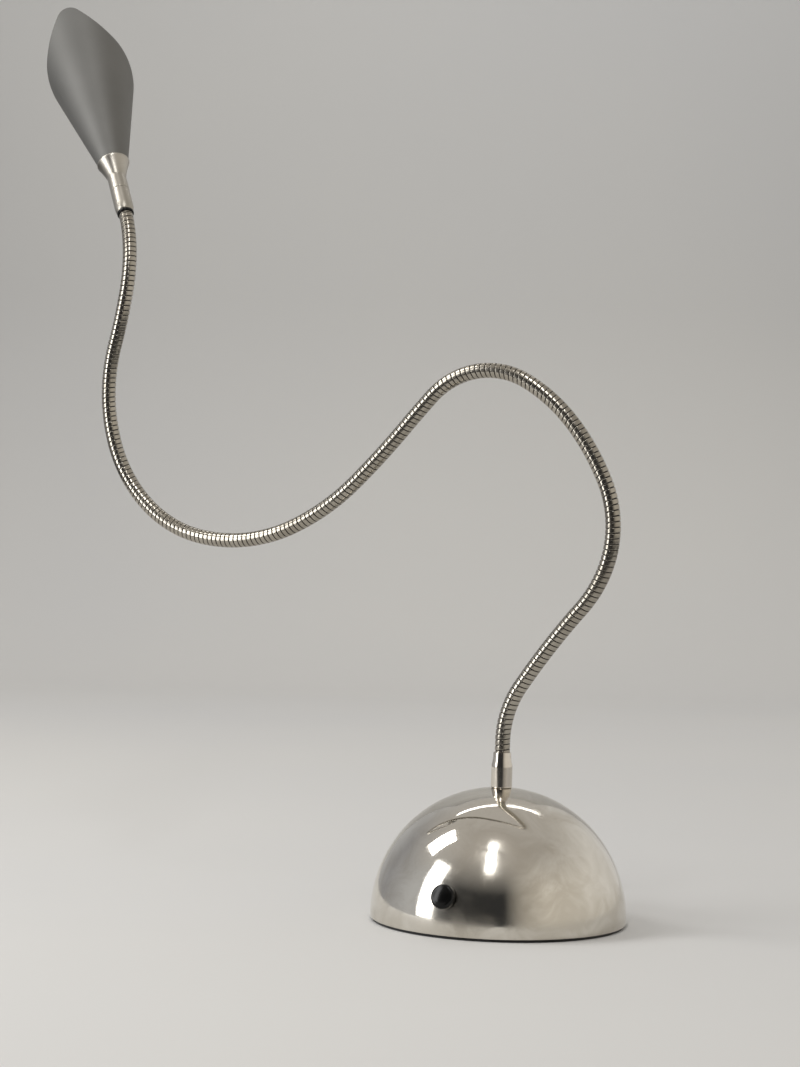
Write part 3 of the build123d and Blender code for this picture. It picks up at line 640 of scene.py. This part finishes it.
# The ferrule's outline: radius, and height above its foot on the dome
FERRULE_PROFILE = (
    (TUBE_SOCKET, 0.15),
    (7.7, 0.02),
    (8.05, 0.15),
    (FERRULE_RADIUS, 0.5),
    (FERRULE_RADIUS, 1.0),
    (FERRULE_RADIUS, 15.6),
    (FERRULE_RADIUS, 16.2),
    (8.16, 17.0),
    (8.05, 17.8),
    (7.85, 18.8),
    (7.58, 20.0),
    (7.35, 21.0),
    (7.18, 22.2),
    (7.05, 24.3),
    (6.97, 26.8),
    (6.85, 27.2),
    (6.6, FERRULE_HEIGHT),
    (6.15, 27.2),
    (TUBE_SOCKET, 26.8),
    (TUBE_SOCKET, 14.3),
)


def build_ferrule():
    """The polished ferrule at the foot of the neck."""
    profile = [(radius, FERRULE_FOOT + height) for radius, height in FERRULE_PROFILE]
    ferrule = lathe("ferrule", profile, TRIM_NICKEL)
    sharpen(ferrule)
    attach(ferrule, "base")
    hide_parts("neck_ferrule")


# Head

# The head's frame: its axis goes on from the neck, and the leaf's long side is the tongue
FRONT = Vector((0, -1, 0))
forward = (FRONT - head_axis * FRONT.dot(head_axis)).normalized()
TONGUE = Matrix.Rotation(math.radians(SHADE_TURN), 3, head_axis) @ forward
HEAD = frame_matrix(neck_end, TONGUE, head_axis)

# Sizes of the head, in heights above the neck's end
SLEEVE_RADIUS = 8.1
SLEEVE_FOOT = -10.4
SLEEVE_TOP = 13.9
SPIGOT_FOOT = 6.9
SCREW_HEIGHT = 12.8
SCREW_TURN = -25.0
STEM_FOOT = 14.15
FLARE_FOOT = 29.95
RIM = 47.15
RIM_RADIUS = 14.0
SHADE_FOOT_RADIUS = 13.0
SHADE_HALF_ANGLE = math.radians(13.55)


def build_end_ring():
    """The black ring where the neck enters the sleeve."""
    foot = SLEEVE_FOOT
    inner = TUBE_SOCKET
    profile = [(inner, foot - 0.05), (inner, foot - 2.0), (6.25, foot - 2.2)]
    profile += [(6.75, foot - 2.2), (7.1, foot - 1.8), (7.1, foot - 0.1)]
    ring = lathe("end_ring", profile, BLACK, HEAD, segments=96, closed=True)
    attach(ring, "neck_6")
    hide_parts("neck_end_ring")


def build_sleeve():
    """The sleeve on the neck's end, with its rounded foot and the hole for the spigot."""
    foot = SLEEVE_FOOT
    top = SLEEVE_TOP
    hole = 5.05
    hole_foot = SPIGOT_FOOT - 0.3
    profile = [(BORE_RADIUS, 0.0), (TUBE_SOCKET, 0.0), (TUBE_SOCKET, foot + 0.2)]
    profile += [(6.3, foot), (6.75, foot + 0.02), (7.05, foot + 0.3), (7.38, foot + 1.3)]
    profile += [(7.66, foot + 2.5), (7.88, foot + 3.9), (8.02, foot + 5.3), (SLEEVE_RADIUS, foot + 7.0)]
    profile += [(SLEEVE_RADIUS, foot + 7.8), (SLEEVE_RADIUS, top - 0.8), (SLEEVE_RADIUS, top - 0.25)]
    profile += [(8.02, top - 0.06), (7.85, top), (5.2, top), (hole, top - 0.15)]
    profile += [(hole, hole_foot), (BORE_RADIUS, hole_foot)]
    sleeve = lathe("sleeve", profile, SHADED_HEAD_NICKEL, HEAD, closed=True)
    sharpen(sleeve)
    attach(sleeve, "neck_6")
    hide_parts("head_sleeve")


def build_grub_screw():
    """The grub screw that holds the spigot, with its socket."""
    turn = Matrix.Rotation(math.radians(SCREW_TURN), 4, "Z")
    outward = turn @ Matrix.Rotation(math.radians(90), 4, "Y")
    place = HEAD @ Matrix.Translation((0, 0, SCREW_HEIGHT)) @ outward
    screw_radius = 0.8
    socket_radius = 0.42
    tip = 4.7
    surface = math.sqrt(SLEEVE_RADIUS**2 - screw_radius**2)
    head = SLEEVE_RADIUS + 0.02
    profile = [(0, tip), (screw_radius - 0.2, tip), (screw_radius, tip + 0.2), (screw_radius, surface)]
    profile += [(0.72, head), (0.46, head), (socket_radius, SLEEVE_RADIUS - 0.1)]
    profile += [(socket_radius, SLEEVE_RADIUS - 1.0), (0, SLEEVE_RADIUS - 1.2)]
    grub = lathe("grub_screw", profile, IRON, place, segments=24)
    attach(grub, "neck_6")
    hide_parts("sleeve_screw")


def build_cup():
    """The cup on its spigot: a stem, a flare and a rim that holds the shade's foot."""
    lead_hole = 2.2
    spigot = 5.0
    groove = 4.3
    groove_foot = SCREW_HEIGHT - 1.0
    groove_top = SCREW_HEIGHT + 1.0
    floor = FLARE_FOOT + 2.0
    profile = [(lead_hole, SPIGOT_FOOT), (spigot - 0.1, SPIGOT_FOOT), (spigot, SPIGOT_FOOT + 0.1)]
    profile += [(spigot, groove_foot), (groove, groove_foot), (groove, groove_top), (spigot, groove_top)]
    profile += [(spigot, STEM_FOOT), (7.85, STEM_FOOT), (8.02, STEM_FOOT + 0.06)]
    profile += [(SLEEVE_RADIUS, STEM_FOOT + 0.25), (SLEEVE_RADIUS, STEM_FOOT + 0.8)]
    profile += [(SLEEVE_RADIUS, FLARE_FOOT - 1.5), (SLEEVE_RADIUS, FLARE_FOOT - 0.5)]
    steps = 14
    hollow_curve = 1.4
    for step in range(steps + 1):
        share = step / steps
        straight = SLEEVE_RADIUS + (RIM_RADIUS - SLEEVE_RADIUS) * share
        radius = straight - hollow_curve * share * (1 - share)
        profile.append((radius, FLARE_FOOT + (RIM - FLARE_FOOT - 0.3) * share))
    profile += [(RIM_RADIUS - 0.02, RIM - 0.1), (RIM_RADIUS - 0.2, RIM), (13.3, RIM), (13.1, RIM - 0.2)]
    profile += [(12.4, RIM - 3.0), (11.2, RIM - 3.0), (6.9, floor), (lead_hole, floor)]
    cup = lathe("cup", profile, SHADED_HEAD_NICKEL, HEAD, closed=True)
    sharpen(cup)
    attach(cup, "head")
    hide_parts("shade_cup")


# The leaf's outline, in heights above the cup's rim
LIP = 70.0
SHOULDER = 115.0
SHOULDER_DEPTH = 25.0
CHEEK = 131.0
CHEEK_HALF_WIDTH = 20.2
TIP = 147.5
TIP_ROUND = 5.0
TIP_HALF_WIDTH = 10.2


def cone_radius(height):
    """The sheet's outer radius at a height above the cup's rim."""
    return SHADE_FOOT_RADIUS + height * math.tan(SHADE_HALF_ANGLE)


def through(value, low, middle, high):
    """A smooth curve through three points."""
    (a, fa), (b, fb), (c, fc) = low, middle, high
    first = fa * (value - b) * (value - c) / ((a - b) * (a - c))
    second = fb * (value - a) * (value - c) / ((b - a) * (b - c))
    third = fc * (value - a) * (value - b) / ((c - a) * (c - b))
    return first + second + third


def leaf_half_width(height):
    """Half the tongue's width at a height, from the shoulder to the tip."""
    shoulder = math.sqrt(cone_radius(SHOULDER) ** 2 - SHOULDER_DEPTH**2)
    round_start = TIP - TIP_ROUND
    if height <= round_start:
        low = (SHOULDER, shoulder)
        middle = (CHEEK, CHEEK_HALF_WIDTH)
        high = (round_start, TIP_HALF_WIDTH)
        return through(height, low, middle, high)
    radius = (TIP_HALF_WIDTH**2 + TIP_ROUND**2) / (2 * TIP_ROUND)
    return math.sqrt(max(radius**2 - (height - TIP + radius) ** 2, 0.0))


def in_leaf(angle, height):
    """Whether the leaf holds a point of the cone.

    Up to the shoulder it lies below a slanting cut, and above it in the tongue.
    """
    x, y = around(cone_radius(height), angle)
    if height <= SHOULDER:
        lip = -cone_radius(LIP)
        slope = (SHOULDER - LIP) / (SHOULDER_DEPTH - lip)
        return height <= LIP + (x - lip) * slope or x > SHOULDER_DEPTH
    return x > 0 and abs(y) <= leaf_half_width(height)


def leaf_height(angle):
    """How far up the cone the shade reaches at an angle from the tongue."""
    low = LIP - 5.0
    high = TIP
    if in_leaf(angle, high - 1e-6):
        return high
    for _ in range(40):
        middle = (low + high) / 2
        if in_leaf(angle, middle):
            low = middle
        else:
            high = middle
    return low


def build_shade():
    """The leaf: a cone of thin sheet, cut along its mouth."""
    columns = 360
    rows = 60
    wall = 1.0 / math.cos(SHADE_HALF_ANGLE)
    foot = -3.0
    vertices = []
    for inset in (0.0, wall):
        for column in range(columns):
            angle = 2 * math.pi * column / columns
            top = leaf_height(angle)
            for row in range(rows + 1):
                height = foot + (top - foot) * row / rows
                radius = cone_radius(height) - inset
                vertices.append(HEAD @ Vector((*around(radius, angle), RIM + height)))
    faces = []
    sheet = columns * (rows + 1)
    for column in range(columns):
        here = column * (rows + 1)
        there = ((column + 1) % columns) * (rows + 1)
        for row in range(rows):
            outer = (here + row, there + row, there + row + 1, here + row + 1)
            faces.append(outer)
            faces.append(tuple(sheet + corner for corner in reversed(outer)))
        faces.append((here + rows, there + rows, sheet + there + rows, sheet + here + rows))
        faces.append((sheet + here, sheet + there, there, here))
    shade = piece("leaf_shade", vertices, faces, SATIN)
    sharpen(shade)
    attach(shade, "head")
    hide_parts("shade")


# Mains cord

COIL_CENTRE = Vector((-46.0, 200.0, 0.0))
COIL_RADIUS = 46.0
COIL_PITCH = 6.5
COIL_RISE = 6.3
COIL_TURNS = 3.5
COIL_DIP = 0.9
RELIEF_END = 122.75
RELIEF_HEIGHT = 13.0
PLUG_HEIGHT = 6.9


def coil_point(turns):
    """In along the lower layer, up half a turn, out along the upper one."""
    climb = min(max((turns - COIL_TURNS) * 2, 0.0), 1.0)
    inward = min(turns, COIL_TURNS)
    outward = max(turns - COIL_TURNS - 0.5, 0.0)
    radius = COIL_RADIUS - COIL_PITCH * (inward - outward) - COIL_DIP * math.sin(math.pi * climb)
    height = CORD_HEIGHT + COIL_RISE * (1 - math.cos(math.pi * climb)) / 2
    return COIL_CENTRE + Vector((*around(radius, 2 * math.pi * turns), height))


def build_cord():
    """The cord as one smooth line: out of the relief, down to the floor, round the coil and to the plug."""
    turns = 2 * COIL_TURNS + 0.5
    straight = Vector((0, 2 * CORD_RADIUS, 0))
    start = Vector((0, RELIEF_END, RELIEF_HEIGHT))
    coil_start = coil_point(0) - straight
    coil_end = coil_point(turns) - straight
    step = (coil_start.y - RELIEF_END) / 3
    points = [start, start + Vector((0, 0.8 * step, 0))]
    points.append(Vector((0, RELIEF_END + 2.1 * step, CORD_HEIGHT)))
    points.append(coil_start)
    per_turn = 16
    for index in range(round(turns * per_turn) + 1):
        points.append(coil_point(index / per_turn))
    points.append(coil_end)
    points.append(coil_end + Vector((0, -15, 0)))
    points.append(Vector((coil_end.x + 4, coil_end.y - 33, PLUG_HEIGHT + 0.8)))
    points.append(Vector((coil_end.x + 2, coil_end.y - 50, PLUG_HEIGHT)))
    points.append(Vector((coil_end.x + 2, coil_end.y - 64, PLUG_HEIGHT)))
    curve = bpy.data.curves.new("cord", "CURVE")
    curve.dimensions = "3D"
    spline = curve.splines.new("NURBS")
    spline.points.add(len(points) - 1)
    for spot, point in zip(spline.points, points):
        spot.co = (*(point * MM), 1.0)
    spline.order_u = 3
    spline.use_endpoint_u = True
    spline.resolution_u = 6
    curve.bevel_depth = CORD_RADIUS * MM
    curve.bevel_resolution = 6
    curve.use_fill_caps = True
    curve.materials.append(CORD)
    cord = bpy.data.objects.new("cord", curve)
    scene.collection.objects.link(cord)
    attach(cord, "base")
    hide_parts("mains_cord", "cord_coil", "cord_tail")


# Floor, wall, light and camera

def build_stage():
    """A pale floor that sweeps up into a plain wall."""
    shader = Shader("backdrop")
    shader.set(Roughness=0.9)
    cloud = shader.noise(shader.place(), 0.9, 2.0, 0.5)
    shader.vary(cloud, "Fac", "Base Color", (0.3, grey(0.67)), (0.7, (0.70, 0.695, 0.68)))
    front = -650
    sweep_start = 2500
    sweep = 800
    wall_top = 3000
    half_width = 1300
    profile = [(front, 0), (sweep_start, 0)]
    profile += arc_points((sweep_start, sweep), sweep, -84, 0, 14)
    profile.append((sweep_start + sweep, wall_top))
    turn = Matrix.Rotation(math.radians(CAMERA_TURN), 4, "Z")
    vertices = []
    for across in (-half_width, half_width):
        for depth, height in profile:
            vertices.append(turn @ Vector((across, depth, height)))
    count = len(profile)
    faces = [(i, count + i, count + i + 1, i + 1) for i in range(count - 1)]
    floor = piece("floor", vertices, faces, shader.material)


# The world round the lamp: left is 0, the camera's side 0.25, right 0.5 and behind the lamp 0.75
SIDES = (
    (0.00, grey(0.50)),
    (0.05, grey(0.46)),
    (0.09, grey(0.12)),
    (0.13, grey(0.04)),
    (0.26, grey(0.035)),
    (0.31, (0.50, 0.47, 0.42)),
    (0.37, (0.76, 0.72, 0.65)),
    (0.50, (0.76, 0.73, 0.68)),
    (0.64, (0.68, 0.66, 0.63)),
    (0.75, (0.58, 0.58, 0.57)),
    (0.88, (0.32, 0.32, 0.33)),
    (1.00, grey(0.50)),
)
CEILING = (0.48, 0.455, 0.42)
GROUND = grey(0.05)


def build_world():
    """A plain studio: grey to the sides and above, dark behind the camera and below."""
    world = bpy.data.worlds.new("studio")
    scene.world = world
    world.use_nodes = True
    sky = NodeTree(world.node_tree)
    where = sky.add("ShaderNodeTexCoord")
    turn = sky.add("ShaderNodeMapping")
    turn.inputs["Rotation"].default_value = (0, 0, math.radians(-CAMERA_TURN))
    sky.link(where, "Generated", turn, "Vector")
    azimuth = sky.add("ShaderNodeTexGradient", gradient_type="RADIAL")
    sky.link(turn, "Vector", azimuth, "Vector")
    sides = sky.ramp(azimuth, "Fac", SIDES)
    parts = sky.add("ShaderNodeSeparateXYZ")
    sky.link(turn, "Vector", parts, "Vector")
    # From 0 straight down to 1 straight up
    rise = sky.add("ShaderNodeMath", operation="MULTIPLY_ADD")
    rise.inputs[1].default_value = 0.5
    rise.inputs[2].default_value = 0.5
    sky.link(parts, "Z", rise, 0)
    up = sky.ramp(rise, "Value", [(0.72, grey(0)), (0.92, grey(1))])
    down = sky.ramp(rise, "Value", [(0.40, grey(1)), (0.49, grey(0))])
    upper = sky.add("ShaderNodeMix", data_type="RGBA")
    sky.link(up, "Color", upper, "Factor")
    sky.link(sides, "Color", upper, "A")
    upper.inputs["B"].default_value = (*CEILING, 1)
    whole = sky.add("ShaderNodeMix", data_type="RGBA")
    sky.link(down, "Color", whole, "Factor")
    sky.link(upper, "Result", whole, "A")
    whole.inputs["B"].default_value = (*GROUND, 1)
    background = sky.tree.nodes["Background"]
    sky.link(whole, "Result", background, "Color")
    background.inputs["Strength"].default_value = 1.0


CAMERA_RIGHT = Vector((*around(1.0, math.radians(CAMERA_TURN)), 0))
CAMERA_AWAY = Vector((-CAMERA_RIGHT.y, CAMERA_RIGHT.x, 0))


def studio_place(across, towards, height):
    """A point in metres, across to the camera's right and towards its side of the lamp."""
    return CAMERA_RIGHT * across - CAMERA_AWAY * towards + Vector((0, 0, height))


def build_light():
    """A tall soft box at the left, a key above it, a long box overhead and a wash on the wall."""

    def area(name, place, target, size, power, colour=(1, 1, 1)):
        lamp = bpy.data.lights.new(name, "AREA")
        lamp.shape = "RECTANGLE"
        lamp.size, lamp.size_y = size
        lamp.energy = power
        lamp.color = colour
        made = bpy.data.objects.new(name, lamp)
        made.location = place
        made.rotation_euler = (target - place).to_track_quat("-Z", "Y").to_euler()
        scene.collection.objects.link(made)

    middle = Vector((-0.1, 0, 0.3))
    area("tall_box", studio_place(-1.85, 0.65, 0.8), middle, (0.6, 1.6), 15)
    area("key", studio_place(-1.7, -0.3, 2.1), middle, (0.6, 0.9), 15, (1.0, 0.99, 0.97))
    area("long_box", studio_place(-0.35, 1.3, 2.3), middle, (0.2, 1.3), 11)
    area("wall_wash", studio_place(0.0, -1.7, 2.7), studio_place(0.0, -3.3, 0.9), (2.4, 0.4), 16)


def build_camera():
    """The photograph's viewing angle: round to the right, level and slightly rolled."""
    focal_pixels = 2370.0
    photo_height = 1067.0
    sensor = 36.0
    camera_data = bpy.data.cameras.new("camera")
    camera_data.sensor_fit = "AUTO"
    camera_data.sensor_width = sensor
    camera_data.lens = sensor * focal_pixels / photo_height
    camera_data.clip_start = 0.05
    camera_data.clip_end = 30.0
    camera = bpy.data.objects.new("camera", camera_data)
    matrix = Matrix((CAMERA_RIGHT, Vector((0, 0, 1)), -CAMERA_AWAY)).transposed().to_4x4()
    matrix = matrix @ Matrix.Rotation(math.radians(CAMERA_ROLL), 4, "Z")
    matrix.translation = Vector((0.75599, -1.66803, 0.29688))
    camera.matrix_world = matrix
    scene.collection.objects.link(camera)
    scene.camera = camera


build_camera()
dress_cad_nodes()
build_cord()
build_dome()
build_knob()
build_ferrule()
build_neck()
build_leads()
build_end_ring()
build_sleeve()
build_grub_screw()
build_cup()
build_shade()
build_stage()
build_world()
build_light()
scene.view_settings.view_transform = "Standard"
